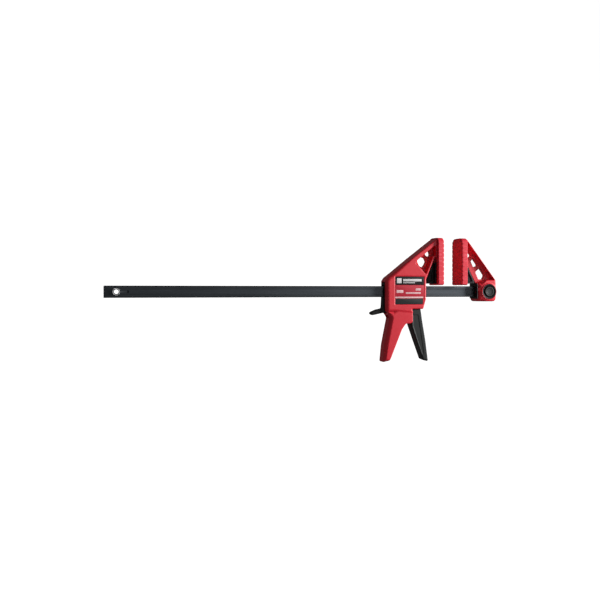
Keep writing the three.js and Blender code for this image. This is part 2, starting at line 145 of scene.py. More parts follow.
class Paint:  # one material; add() is the way to every node
    def __init__(self, name, colour, **fixed):
        self.material = bpy.data.materials.new(name)
        self.material.use_nodes = True
        self.nodes = self.material.node_tree.nodes
        self.links = self.material.node_tree.links
        self.shader = self.nodes["Principled BSDF"]
        self.material.diffuse_color = (*colour, 1)
        self.shader.inputs["Base Color"].default_value = (*colour, 1)
        for socket, value in fixed.items():
            self.shader.inputs[socket.replace("_", " ")].default_value = value

    def give(self, socket, value):
        if isinstance(value, Wire):
            self.links.new(value.socket, socket)
        elif isinstance(value, tuple) and len(value) == 3 and socket.type == "RGBA":
            socket.default_value = (*value, 1)
        else:
            socket.default_value = value

    def add(self, kind, settings=None, inputs=None, output=0):  # its settings first, then its sockets
        node = self.nodes.new(kind)
        for key, value in (settings or {}).items():
            setattr(node, key, value)
        for key, value in (inputs or {}).items():
            self.give(node.inputs[key], value)
        return Wire(self, node.outputs[output])

    def place(self, stretch=(1, 1, 1)):  # Object coordinates in metres, times stretch
        spot = self.add("ShaderNodeTexCoord", output="Object")
        return self.add("ShaderNodeMapping", {"vector_type": "POINT"}, {"Vector": spot, "Scale": stretch})

    def noise(self, scale, detail=2.0, stretch=(1, 1, 1)):
        wants = {"Vector": self.place(stretch), "Scale": scale, "Detail": detail}
        return self.add("ShaderNodeTexNoise", None, wants)

    def ramp(self, value, low, high):  # 0 below low, 1 above high
        wants = {"Value": value, "From Min": low, "From Max": high}
        return self.add("ShaderNodeMapRange", {"clamp": True}, wants)

    def mix(self, share, first, second):  # colours, first at 0 and second at 1
        return self.add("ShaderNodeMix", {"data_type": "RGBA"}, {0: share, 6: first, 7: second}, output=2)

    def edges(self, low, high):  # 1 along outward edges, 0 on flat faces
        sharp = self.add("ShaderNodeNewGeometry", output="Pointiness")
        return self.ramp(sharp, low, high)

    def bump(self, height, depth, strength):  # depth in millimetres
        wants = {"Height": height, "Distance": depth / mm, "Strength": strength}
        return self.add("ShaderNodeBump", None, wants)

    def feed(self, **sockets):
        for socket, value in sockets.items():
            self.give(self.shader.inputs[socket.replace("_", " ")], value)
        return self.material


# materials
def redPlastic():  # satin moulding: cloudy colour, pale worn edges, fine spark-eroded grain
    paint = Paint("red_plastic", (0.62, 0.010, 0.026), IOR=1.46)
    cloud = paint.noise(38, 3)
    deep = paint.mix(cloud, (0.60, 0.008, 0.024), (0.72, 0.018, 0.036))
    worn = paint.edges(0.53, 0.60) * paint.ramp(paint.noise(300, 3), 0.35, 0.7)
    colour = paint.mix(worn * 0.35, deep, (0.86, 0.16, 0.22))
    grain = paint.noise(2600, 2) * 0.6 + paint.noise(900, 2) * 0.4
    rough = 0.36 + paint.noise(60, 4, (1, 1, 3)) * 0.16
    return paint.feed(Base_Color=colour, Roughness=rough, Normal=paint.bump(grain, 0.04, 0.55))


def redRubber():  # soft pad: a little lighter and duller, dusty in the grooves' sides
    paint = Paint("red_rubber", (0.72, 0.02, 0.045), IOR=1.42)
    cloud = paint.noise(55, 4)
    deep = paint.mix(cloud, (0.64, 0.012, 0.032), (0.78, 0.026, 0.05))
    worn = paint.edges(0.52, 0.62)
    colour = paint.mix(worn * 0.4, deep, (0.90, 0.15, 0.20))
    grain = paint.noise(1500, 3)
    rough = 0.52 + paint.noise(120, 3) * 0.2
    return paint.feed(Base_Color=colour, Roughness=rough, Normal=paint.bump(grain, 0.06, 0.6))


def blackPlastic():  # black moulding with pale worn edges
    paint = Paint("black_plastic", (0.006, 0.006, 0.007), IOR=1.45, Specular_IOR_Level=0.22)
    cloud = paint.noise(70, 3)
    deep = paint.mix(cloud, (0.004, 0.004, 0.005), (0.009, 0.009, 0.010))
    colour = paint.mix(paint.edges(0.53, 0.62) * 0.5, deep, (0.045, 0.045, 0.047))
    grain = paint.noise(1800, 3)
    rough = 0.38 + paint.noise(90, 3) * 0.2
    return paint.feed(Base_Color=colour, Roughness=rough, Normal=paint.bump(grain, 0.05, 0.6))


def charcoalPlastic():  # glass-filled nylon: grey with pale flecks and a leathery grain
    paint = Paint("charcoal_plastic", (0.020, 0.023, 0.023), IOR=1.45, Specular_IOR_Level=0.3)
    cloud = paint.noise(45, 4)
    deep = paint.mix(cloud, (0.010, 0.012, 0.012), (0.019, 0.021, 0.021))
    fleck = paint.ramp(paint.noise(1400, 1, (1, 1, 0.3)), 0.68, 0.78)
    speckled = paint.mix(fleck * 0.25, deep, (0.10, 0.10, 0.10))
    colour = paint.mix(paint.edges(0.53, 0.62) * 0.35, speckled, (0.11, 0.115, 0.115))
    grain = paint.noise(1100, 4)
    rough = 0.46 + paint.noise(80, 3) * 0.2
    return paint.feed(Base_Color=colour, Roughness=rough, Normal=paint.bump(grain, 0.07, 0.7))


def barSteel():  # blackened rolled bar: long rolling streaks, rubbed edges, paler patches, and painted shade darkening its top and bottom
    paint = Paint("bar_steel", (0.16, 0.18, 0.19), Metallic=0.75)
    streak = paint.noise(900, 3, (0.012, 1, 1))
    patch = paint.ramp(paint.noise(24, 5, (0.35, 1, 1)), 0.3, 0.75)
    dark = paint.mix(streak, (0.030, 0.036, 0.043), (0.070, 0.080, 0.092))
    tone = paint.mix(patch * 0.4, dark, (0.090, 0.102, 0.114))
    height = paint.add("ShaderNodeSeparateXYZ", None, {0: paint.place()}, "Z") - barCentre / mm
    fromMiddle = paint.add("ShaderNodeMath", {"operation": "ABSOLUTE"}, {0: height})
    # painted shade: the bar is darkened from 7.8 mm off its centre line outwards, on its top and bottom, the
    # band's edge wavering with the patches
    scale = paint.ramp(fromMiddle + (patch - 0.5) * 0.0008, 0.0078, 0.0090)
    shadedTopBottom = paint.mix(scale * 0.8, tone, (0.006, 0.007, 0.008))
    colour = paint.mix(paint.edges(0.54, 0.62) * 0.3, shadedTopBottom, (0.30, 0.32, 0.34))
    rough = 0.34 + streak * 0.16 + patch * 0.08
    relief = streak * 0.7 + paint.noise(2200, 2) * 0.3
    return paint.feed(Base_Color=colour, Roughness=rough, Normal=paint.bump(relief, 0.03, 0.5))


def zincSteel():  # bright plating, cloudy and finely brushed
    paint = Paint("zinc_steel", (0.55, 0.56, 0.57), Metallic=1.0)
    cloud = paint.noise(260, 4)
    colour = paint.mix(cloud, (0.42, 0.43, 0.45), (0.66, 0.66, 0.65))
    relief = paint.noise(1600, 3)
    rough = 0.24 + cloud * 0.22
    return paint.feed(Base_Color=colour, Roughness=rough, Normal=paint.bump(relief, 0.03, 0.5))


def springSteel():  # drawn wire, darker than the plating
    paint = Paint("spring_steel", (0.33, 0.34, 0.36), Metallic=1.0)
    cloud = paint.noise(420, 3)
    colour = paint.mix(cloud, (0.24, 0.25, 0.27), (0.44, 0.45, 0.46))
    rough = 0.26 + cloud * 0.2
    return paint.feed(Base_Color=colour, Roughness=rough, Normal=paint.bump(cloud, 0.03, 0.4))


def printInk(name, colour, wornTo):  # printed film: ink that is slightly thin in places
    paint = Paint(name, colour, IOR=1.45)
    thin = paint.ramp(paint.noise(700, 4), 0.45, 0.75)
    shade = paint.mix(thin * 0.35, colour, wornTo)
    rough = 0.42 + thin * 0.15
    return paint.feed(Base_Color=shade, Roughness=rough, Normal=paint.bump(thin, 0.02, 0.4))


# pieces
def pointOutwards(mesh):  # the volume that the triangles enclose is negative where they face inwards
    mesh.calc_loop_triangles()
    spots = np.empty(len(mesh.vertices) * 3)
    mesh.vertices.foreach_get("co", spots)
    corners = np.empty(len(mesh.loop_triangles) * 3, np.int32)
    mesh.loop_triangles.foreach_get("vertices", corners)
    a, b, c = spots.reshape(-1, 3)[corners.reshape(-1, 3)].transpose(1, 0, 2)
    if (a * np.cross(b, c)).sum() < 0:
        mesh.flip_normals()


def piece(name, shape, body, material, replaces=(), sharpAt=None):
    points, faces = shape
    mesh = bpy.data.meshes.new(name)
    mesh.from_pydata(toMetres(points), [], faces)
    mesh.update()
    pointOutwards(mesh)
    mesh.polygons.foreach_set("use_smooth", np.ones(len(mesh.polygons), bool))
    if sharpAt:
        mesh.set_sharp_from_angle(angle=math.radians(sharpAt))
    made = bpy.data.objects.new(name, mesh)
    bpy.context.scene.collection.objects.link(made)
    mesh.materials.append(material)
    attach(made, body)
    if replaces:
        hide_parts(*replaces)
    return made


def gridFaces(rows, columns, closedRows=False):  # quads of a grid whose columns close round
    i = np.arange(rows if closedRows else rows - 1)[:, None]
    j = np.arange(columns)[None, :]
    i1, j1 = (i + 1) % rows, (j + 1) % columns
    return np.stack([i * columns + j, i * columns + j1, i1 * columns + j1, i1 * columns + j], -1).reshape(-1, 4)


def closedTube(rings):  # rings (rows, columns, 3) with a flat cap on the first and the last one
    rows, columns = rings.shape[:2]
    faces = gridFaces(rows, columns).tolist()
    faces.append(list(range(columns))[::-1])
    faces.append(list(range((rows - 1) * columns, rows * columns)))
    return rings.reshape(-1, 3), faces


# outline whose corners (a, b, radius) become curves between their two tangent points
def roundedOutline(corners, steps=7):
    table = np.array([(*corner, 0)[:3] for corner in corners], float)
    here, radius = table[:, :2], table[:, 2:]
    back, ahead = np.roll(here, 1, 0) - here, np.roll(here, -1, 0) - here
    backLong, aheadLong = np.linalg.norm(back, axis=1), np.linalg.norm(ahead, axis=1)
    turn = (back * ahead).sum(1) / (backLong * aheadLong)
    half = np.arccos(np.clip(turn, -1, 1)) / 2
    reach = np.minimum(radius[:, 0] / np.tan(half), 0.48 * np.minimum(backLong, aheadLong))[:, None]
    start, end = here + back / backLong[:, None] * reach, here + ahead / aheadLong[:, None] * reach
    t = np.linspace(0, 1, steps)[None, :, None]
    curve = (1 - t) ** 2 * start[:, None] + 2 * t * (1 - t) * here[:, None] + t ** 2 * end[:, None]
    points = curve.reshape(-1, 2)
    return points[np.linalg.norm(points - np.roll(points, 1, 0), axis=1) > 1e-6]


# turned piece: a closed profile of (radius, y) carried round the y axis through (x, z)
def turned(profile, x, z, columns=64):
    profile = np.array(profile, float)
    angle = np.linspace(0, 2 * np.pi, columns, endpoint=False)[None, :]
    radius = profile[:, :1]
    level = np.broadcast_to(profile[:, 1:], (len(profile), columns))
    rings = np.stack([x + radius * np.cos(angle), level, z + radius * np.sin(angle)], -1)
    onAxis = profile[0, 0] < 1e-6 and profile[-1, 0] < 1e-6
    if not onAxis:
        return rings.reshape(-1, 3), gridFaces(len(profile), columns, closedRows=True)
    inner = rings[1:-1]
    rows = len(inner)
    points = np.vstack([inner.reshape(-1, 3), [[x, profile[0, 1], z], [x, profile[-1, 1], z]]])
    faces = gridFaces(rows, columns).tolist()
    first, last, tail = rows * columns, rows * columns + 1, (rows - 1) * columns
    faces += [[first, (j + 1) % columns, j] for j in range(columns)]
    faces += [[last, tail + j, tail + (j + 1) % columns] for j in range(columns)]
    return points, faces


# coil spring: a wire circle carried along a helix round the line from start to end
def coil(start, end, radius, wire, turns, around=14, perTurn=40):
    start, end = np.array(start, float), np.array(end, float)
    axis = (end - start) / np.linalg.norm(end - start)
    side = np.cross(axis, [0, 0, 1])
    up = np.cross(axis, side)
    t = np.linspace(0, 1, int(turns * perTurn) + 1)[:, None]
    angle = 2 * np.pi * turns * t
    outward = side * np.cos(angle) + up * np.sin(angle)
    line = start + axis * wire + outward * radius + (end - start - 2 * axis * wire) * t
    phi = np.linspace(0, 2 * np.pi, around, endpoint=False)[None, :, None]
    rings = line[:, None] + wire * (outward[:, None] * np.cos(phi) + axis * np.sin(phi))
    return closedTube(rings)


# flat plate from inner to outer in y, with a rounded outline in x and z and a rolled edge on its outer
# face: the outline is repeated at each level, moved in by the edge's quarter circle
def panel(corners, inner, outer, edge):
    rim = roundedOutline(corners)
    ahead = np.roll(rim, -1, 0) - rim
    along = ahead + np.roll(ahead, 1, 0)
    area = (rim[:, 0] * np.roll(rim, -1, 0)[:, 1] - np.roll(rim, -1, 0)[:, 0] * rim[:, 1]).sum()
    inward = np.stack([-along[:, 1], along[:, 0]], -1) * np.sign(area) / np.linalg.norm(along, axis=1)[:, None]
    turn = np.linspace(0, np.pi / 2, 5)
    inset = np.concatenate([[0], edge * (1 - np.cos(turn))])
    level = np.concatenate([[inner], outer - np.sign(outer - inner) * edge * (1 - np.sin(turn))])
    flat = rim[None] + inward[None] * inset[:, None, None]
    height = np.broadcast_to(level[:, None], flat.shape[:2])
    return closedTube(np.stack([flat[..., 0], height, flat[..., 1]], -1))


def rectangle(x0, x1, z0, z1, radius=0):  # its four corners, each with the radius
    return [(x0, z0, radius), (x1, z0, radius), (x1, z1, radius), (x0, z1, radius)]


# mouldings
# A moulding is a field over x, y and z: below 0 inside, about the distance in millimetres from its skin.
def meet(first, second, edge=0.0):  # both fields at once, the edge where they meet rolled to that radius
    rolled = np.hypot(np.maximum(first + edge, 0), np.maximum(second + edge, 0))
    return np.minimum(np.maximum(first, second), -edge) + rolled


def fuse(first, second, fillet=0.0):  # either field, the corner between them filled to that radius
    filled = np.hypot(np.maximum(fillet - first, 0), np.maximum(fillet - second, 0))
    return np.maximum(np.minimum(first, second), fillet) - filled


def without(first, second, edge=0.0):  # the first field with the second cut out of it
    return meet(first, -second, edge)


def between(value, low, high):  # below 0 from low to high
    return np.maximum(low - value, value - high)


# distance in x and z from an outline: to its nearest side, and negative inside, where a line along x
# crosses the sides an odd number of times
def plan(corners, x, z):
    rim = roundedOutline(corners)
    side = np.roll(rim, -1, 0) - rim
    dx, dz = x[..., None] - rim[:, 0], z[..., None] - rim[:, 1]
    share = np.clip((dx * side[:, 0] + dz * side[:, 1]) / (side ** 2).sum(1), 0, 1)
    gap = np.hypot(dx - share * side[:, 0], dz - share * side[:, 1]).min(-1)
    spans = (dz < 0) != (dz - side[:, 1] < 0)
    slope = side[:, 0] / np.where(side[:, 1] == 0, 1, side[:, 1])
    inside = (spans & (dx < dz * slope)).sum(-1) % 2 == 1
    return np.where(inside, -gap, gap)


def roundAt(x, z, spot, radius):  # round bar along y
    return np.hypot(x - spot[0], z - spot[1]) - radius


# skin of a field: one point in each cell that the skin passes through, at the mean of its crossings with
# the cell's sides, and one face across each grid line that it crosses
def skinOf(field, low, high, step):
    axes = [np.arange(a - 2 * step, b + 3 * step, step) for a, b in zip(low, high)]
    x, y, z = np.meshgrid(*axes, indexing="ij", sparse=True)
    value = np.broadcast_to(field(x, y, z), [len(axis) for axis in axes])
    inside = value < 0
    cells = tuple(n - 1 for n in value.shape)
    total, count = np.zeros((*cells, 3)), np.zeros(cells)
    crossings = []
    for d in range(3):
        lower, upper = [slice(None)] * 3, [slice(None)] * 3
        lower[d], upper[d] = slice(None, -1), slice(1, None)
        lower, upper = tuple(lower), tuple(upper)
        crossed = inside[lower] != inside[upper]
        where = np.argwhere(crossed)
        first, second = value[lower][crossed], value[upper][crossed]
        spot = where.astype(float)
        spot[:, d] += first / (first - second)
        e, f = (d + 1) % 3, (d + 2) % 3
        for backE in (0, 1):
            for backF in (0, 1):
                cell = where.copy()
                cell[:, e] -= backE
                cell[:, f] -= backF
                ok = (cell >= 0).all(1) & (cell < cells).all(1)
                at = tuple(cell[ok].T)
                np.add.at(total, at, spot[ok])
                np.add.at(count, at, 1)
        crossings.append((d, where, inside[lower][crossed]))
    used = count > 0
    number = np.full(cells, -1)
    number[used] = np.arange(used.sum())
    points = total[used] / count[used][:, None] * step + [axis[0] for axis in axes]
    faces = []
    for d, where, leaving in crossings:
        e, f = (d + 1) % 3, (d + 2) % 3
        ring = np.repeat(where[:, None], 4, 1)
        ring[:, :, e] -= [1, 0, 0, 1]
        ring[:, :, f] -= [1, 1, 0, 0]
        quads = number[tuple(ring.reshape(-1, 3).T)].reshape(-1, 4)
        faces.append(np.where(leaving[:, None], quads, quads[:, ::-1]))
    return points, np.vstack(faces)


# the bar and its pins
bar = {"halfWidth": 3.0, "halfHeight": 9.5, "grooveHalf": 4.25, "grooveDepth": 0.5, "corner": 0.9,
       "groovePocket": 0.35, "endBevel": 0.6, "stopHole": 5.3, "lockHole": 4.8, "punchAt": 17.0,
       "punchRadius": 2.2, "roomHalfWidth": 3.3, "roomHalfHeight": 9.8}
stopPin = {"outer": 5.0, "bore": 3.5, "lip": 0.9}
stopAt, lockAt = middleOf("stop_pin"), middleOf("button_cap")


def barShape():  # grooved section with rolled corners carried along x, drawn in at both ends
    w, h, g, deep = bar["halfWidth"], bar["halfHeight"], bar["grooveHalf"], bar["grooveDepth"]
    r, q = bar["corner"], bar["groovePocket"]
    right = [(w, -h, r), (w, -g - deep, q), (w - deep, -g, q), (w - deep, g, q), (w, g + deep, q),
             (w, h, r)]
    section = roundedOutline(right + [(-y, z, radius) for y, z, radius in right[::-1]], steps=5)
    low, high = onBar("bar")
    bevel = bar["endBevel"]
    along = np.array([low[0], low[0] + bevel / 3, low[0] + bevel, high[0] - bevel, high[0]])
    inset = np.array([bevel, bevel / 3, 0, 0, bevel])[:, None]
    y = np.sign(section[:, 0]) * (np.abs(section[:, 0]) - inset)
    z = np.sign(section[:, 1]) * np.maximum(np.abs(section[:, 1]) - inset, 0)
    x = np.broadcast_to(along[:, None], y.shape)
    return closedTube(np.stack([x, y, z], -1))


def countersunk(radius, half, flare=0.5):  # hole cutter whose ends flare where it leaves the steel
    face = half - 0.01
    return [(0, -half - 2), (radius + flare + 2, -half - 2), (radius, -face + flare), (radius, face - flare),
            (radius + flare + 2, half + 2), (0, half + 2)]


def drilled(target, shapes):  # cuts closed shapes out of a piece for good
    cutters = []
    for k, (points, faces) in enumerate(shapes):
        mesh = bpy.data.meshes.new("cutter")
        mesh.from_pydata(toMetres(points), [], faces)
        pointOutwards(mesh)
        cutter = bpy.data.objects.new(f"cutter{k}", mesh)
        bpy.context.scene.collection.objects.link(cutter)
        hole = target.modifiers.new(f"hole{k}", "BOOLEAN")
        hole.operation, hole.solver, hole.object = "DIFFERENCE", "EXACT", cutter
        cutters.append(cutter)
    shaped = bpy.data.meshes.new_from_object(target.evaluated_get(bpy.context.evaluated_depsgraph_get()))
    target.modifiers.clear()
    target.data = shaped
    for cutter in cutters:
        bpy.data.objects.remove(cutter)
    shaped.polygons.foreach_set("use_smooth", np.ones(len(shaped.polygons), bool))
    shaped.set_sharp_from_angle(angle=math.radians(32))
    return target


def barRoom(y, z):  # the opening that the bar passes through, its clearance included
    return np.maximum(np.abs(y) - bar["roomHalfWidth"], np.abs(z) - bar["roomHalfHeight"])


def makeBar(steel):  # the bar with its holes and its punch mark, and the ring of the stop pin
    made = piece("bar_steel_body", barShape(), "bar_assembly", steel, ["bar"])
    w = bar["halfWidth"]
    dent = bar["punchRadius"]
    dimple = [(0, -w - 2), (dent + 1.5, -w - 2), (dent, -w + 0.45), (dent * 0.6, -w + 1.9), (0, -w + 2.1)]
    drilled(made, [
        turned(countersunk(bar["stopHole"], w), stopAt[0], stopAt[2], 48),
        turned(countersunk(bar["lockHole"], w), lockAt[0], lockAt[2], 48),
        turned(dimple, stopAt[0] + bar["punchAt"], 0, 24),
    ])
    low, high = onBar("stop_pin")
    out, bore, lip, half = stopPin["outer"], stopPin["bore"], stopPin["lip"], high[1]
    turn = np.linspace(0, np.pi, 9)  # the lip is a half circle between the bore and the outer wall
    middle, roll = (out + bore) / 2, (out - bore) / 2
    ends = np.stack([middle + roll * np.cos(turn), half - lip + lip * np.sin(turn)], -1)
    ring = np.vstack([ends, ends[::-1] * [1, -1]])
    piece("stop_pin_ring", turned(ring, stopAt[0], stopAt[2]), "bar_assembly", steel, ["stop_pin"])


# the red pads
pad = {"topCorner": 11.0, "bottomCorner": 3.0, "edge": 1.3, "backEdge": 0.6, "pitch": 8.05, "groove": 0.6,
       "grooveWidth": 1.5, "scallop": 0.55, "scallopDepth": 4.5, "scallopReach": 3.0, "step": 0.46}


# a rounded block whose clamping face is cut by two families of slanting grooves, bell-shaped in section,
# that meet on the long edges, where the near side wall waves in by the scallop
def padShape(node, facing):
    low, high = onBar(node)
    half, top, bottom = high[1], high[2], low[2]
    face = low[0] if facing < 0 else high[0]
    thick = high[0] - low[0]
    outline = [(-half, bottom, pad["bottomCorner"]), (half, bottom, pad["bottomCorner"]),
               (half, top, pad["topCorner"]), (-half, top, pad["topCorner"])]

    def field(x, y, z):
        depth = (face - x) * facing  # from the clamping face into the pad
        rows = (z - bottom) / pad["pitch"]
        families = (np.cos(2 * np.pi * (rows + y / half)), np.cos(2 * np.pi * (rows - y / half)))
        width = pad["grooveWidth"] / pad["pitch"] * 2 * np.pi
        cuts = [np.exp(-(np.arccos(np.clip(c, -1, 1)) / width * 1.6) ** 2) for c in families]
        deepest = np.maximum(*cuts)
        nearFace = np.clip(1 - depth / pad["scallopDepth"], 0, 1)
        onNearEdge = np.exp(-((y + half) / pad["scallopReach"]) ** 2)
        wave = pad["scallop"] * onNearEdge * deepest * nearFace
        body = meet(plan(outline, y, z) + wave, depth - thick, pad["backEdge"])
        return meet(body, deepest * pad["groove"] - depth, pad["edge"])

    return skinOf(field, low, high, pad["step"])


def makePads(rubber):
    piece("fixed_pad_rubber", padShape("fixed_pad", -1), "bar_assembly", rubber, ["fixed_pad"])
    piece("sliding_pad_rubber", padShape("sliding_pad", 1), "sliding_jaw", rubber, ["sliding_pad"])


# pad carriers
carrier = {"railHalf": 11.5, "gussetHalf": 5.5, "windowHalf": 3.9, "railEdge": 0.5, "step": 0.5}


# a rail against the pad's back and a fin on it with a sunk window in each side: outlines in z and in the
# distance from the pad, each with its half width
def makeCarrier(node, padNode, side, body, plastic):
    padLow, padHigh = onBar(padNode)
    back = padHigh[0] if side > 0 else padLow[0]
    rail = [(0.3, 14), (0.3, 51, 1), (3.2, 51, 1), (3.2, 14)]
    gusset = [(2, 14), (2, 50), (4.6, 49.5, 1.5), (20.4, 18.2, 1.5), (20.4, 14, 0.8)]
    window = [(7, 18, 1.5), (7, 38, 2), (15.6, 20.5, 2), (15.6, 18, 1.5)]

    def field(x, y, z):
        out = (x - back) * side
        strip = meet(plan(rail, out, z), np.abs(y) - carrier["railHalf"], carrier["railEdge"])
        fin = meet(plan(gusset, out, z), np.abs(y) - carrier["gussetHalf"], 0.7)
        panelled = meet(plan(window, out, z), carrier["windowHalf"] - np.abs(y), 0.6)
        return fuse(strip, without(fin, panelled, 0.4), 1.2)

    low, high = onBar(node)
    piece(node + "_moulding", skinOf(field, low, high, carrier["step"]), body, plastic, [node])


# the fixed jaw
fixedJaw = {"web": 3.0, "flange": 12.8, "backPlate": 13.6, "scoop": 8.0, "block": 14.5, "bossRadius": 14.7,
            "bossFace": 16.0, "collarBore": 13.4, "collarFloor": 8.0, "farRecess": 8.3, "farFloor": 10.2,
            "step": 0.62}


# a three-cornered frame, hollowed from both sides down to its pierced web, fused to a block around the bar
# and a round boss, and cut by the bores of the lock and the bar's socket
def fixedJawShape():
    low, high = onBar("fixed_jaw")
    back = low[0]
    web = [(back, 91.5), (14, 91.5, 1.5), (69.6, 21.5), (69.6, 0), (34.8, 0), (34.8, 15.2, 2),
           (15.2, 52.4, 2), (back, 58.5)]
    pocket = [(0, 62), (24, 6), (42, 6), (67.6, 21.4, 1), (14.6, 88, 1), (0, 88)]
    holes = [
        [(17.4, 61.5, 1), (22.6, 60.6, 1), (25.6, 64.4, 1.5), (21.6, 70, 1.5), (17.4, 71, 1)],
        [(26.2, 53.5, 1.5), (31, 43.4, 1.5), (38.6, 45.8, 1.5), (37.4, 49.5, 1.5), (29.6, 59.6, 1.5)],
        [(35.2, 35, 2), (41.4, 21.8, 3), (49, 21.8, 3), (52.6, 29, 3), (43.6, 41.8, 3)],
    ]
    block = [(34.5, 14.6, 3), (34.5, -17.6, 5), (70, -17.6, 7), (70, 20.5, 3), (52, 20.5, 3)]

    def field(x, y, z):
        deep = np.abs(y)
        frame = meet(plan(web, x, z), deep - fixedJaw["flange"], 1.6)
        hollow = meet(plan(pocket, x, z), fixedJaw["web"] - deep, fixedJaw["scoop"])
        jaw = without(frame, meet(hollow, fixedJaw["backPlate"] - x, 1), 0.5)
        for hole in holes:
            jaw = without(jaw, plan(hole, x, z), 0.8)
        nearFront = np.clip((50 - x) / 9, 0, 1) * np.clip(-y / 5, 0, 1)
        blockRoll = 2.6 + 6.4 * nearFront  # rolled off more on the near side's front
        jaw = fuse(jaw, meet(plan(block, x, z), deep - fixedJaw["block"], blockRoll), 1.2)
        fromLock = roundAt(x, z, lockAt[::2], 0)
        boss = meet(fromLock - fixedJaw["bossRadius"], between(y, -fixedJaw["bossFace"], -9), 0.7)
        jaw = fuse(jaw, boss, 0.8)
        jaw = without(jaw, np.maximum(fromLock - fixedJaw["collarBore"], y + fixedJaw["collarFloor"]), 0.5)
        jaw = without(jaw, fromLock - bar["lockHole"], 0.2)
        jaw = without(jaw, np.maximum(fromLock - fixedJaw["farRecess"], fixedJaw["farFloor"] - y), 0.6)
        return without(jaw, np.maximum(barRoom(y, z), between(x, 20, 62.3)), 0.3)

    return skinOf(field, low, high, fixedJaw["step"])


def makeBarGuide(plastic):  # the black plate in front of the block, around the bar
    low, high = onBar("fixed_bar_guide")

    def field(x, y, z):
        flat = meet(plan(rectangle(low[0], high[0], low[2], high[2], 0.4), x, z), np.abs(y) - high[1], 0.5)
        return without(flat, barRoom(y, z), 0.2)

    piece("fixed_bar_guide_plate", skinOf(field, low, high, 0.4), "bar_assembly", plastic,
          ["fixed_bar_guide"])


# lock button
button = {"gap": 0.3, "rim": 0.5, "capEdge": 1.1, "capThick": 1.6, "coilRadius": 4.6, "coilWire": 0.3,
          "coilTurns": 2, "coilKept": 0.24}


def arcOf(centre, radius, start, end, steps=6):  # arc of a profile, its angles in degrees
    angle = np.radians(np.linspace(start, end, steps))
    return list(zip(centre[0] + radius * np.cos(angle), centre[1] + radius * np.sin(angle)))


# collar, cap, pin and clip are profiles of (radius, y) turned about the lock's line, and a coil stands
# between them
def makeButton(black, charcoal, zinc, spring):
    x, z = lockAt[::2]
    low, high = onBar("button_collar")
    capLow, capHigh = onBar("button_cap")
    radius, rim = capHigh[0] - x, button["rim"]
    outer, inner, face, floor = high[0] - x, radius + button["gap"], low[1], high[1]
    ring = [(inner, floor - 1), (3.6, floor - 1), (3.6, floor), (outer, floor)]
    ring += arcOf((outer - rim, face + rim), rim, 0, -90)
    ring += [(outer - rim - 0.5, face), (inner + 0.4, face + 1.5), (inner, face + 1.9)]
    piece("button_collar_ring", turned(ring, x, z, 96), "bar_assembly", black,
          ["button_collar"], 50)
    top, back, edge = capLow[1], capHigh[1], button["capEdge"]
    under = top + button["capThick"]
    cap = [(0, under), (5.6, under), (5.6, back), (radius, back), (radius, top + edge)]
    cap += arcOf((radius - edge, top + edge), edge, 0, -90)[1:]
    cap += [(radius - 2.2, top), (radius - 2.5, top + 0.35), (radius - 2.9, top + 0.35)]  # ring groove
    cap += [(radius - 3.2, top + 0.05), (5, top + 0.28), (2.5, top + 0.38), (0, top + 0.4)]  # thumb dish
    piece("button_cap_disc", turned(cap, x, z, 96), "lock_button", charcoal, ["button_cap"], 60)
    end = top + 2
    pin = [(0, end), (2.7, end), (3, end + 0.3), (3, -8), (4.5, -7.4), (4.5, 11.4), (3, 11.4), (3, 12.6),
           (4.5, 12.6), (4.5, 13.3), (3.8, 14), (0, 14)]
    piece("lock_pin_turned", turned(pin, x, z, 48), "lock_button", zinc, ["lock_pin"], 30)
    clip = [(3.3, 11.7), (3.3, 12.3), (7.1, 12.3), (7.4, 12), (7.1, 11.7)]
    piece("lock_pin_ring_clip", turned(clip, x, z, 48), "lock_button", spring,
          ["lock_pin_clip"], 30)
    coilLow, coilHigh = onBar("button_spring")
    start, end = (x, coilLow[1], z), (x, coilHigh[1], z)
    wound = coil(start, end, button["coilRadius"], button["coilWire"], button["coilTurns"])
    made = piece("button_spring_coil", wound, "lock_button", spring, ["button_spring"])
    toMetres(start)
    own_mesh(made)


# pistol-grip shells
shell = {"bodyHalf": 14.0, "handleHalf": 13.0, "wallInner": 11.8, "channelHalf": 10.4, "web": 3.0,
         "rearSlot": 7.3, "parting": 0.15, "rim": 1.6, "rimHalf": 5.0, "recess": 1.1, "panelRecess": 0.35,
         "screwBoss": 3.5, "screwBore": 1.8, "screwHead": 3.2, "headFloor": 8.0, "bossEnd": 11.4,
         "pivotSeat": 5.2, "pivotEnd": 12.6, "step": 0.62}
screwPlaces = [(-120, 29), (-78.6, 31.6), (-137.6, -109), (-128.6, -54.4)]
platePlace, insertPlace = (-124.4, -71, 11.2, 26.2), (-124.4, -73, -22.2, -11.8)
printPlace = (-125.8, -69.8, -23.4, 27.4)
triggerPivot, leverPivot = (-86, 16), (-135, -26)
triggerBore, leverBore = 2.7, 1.8


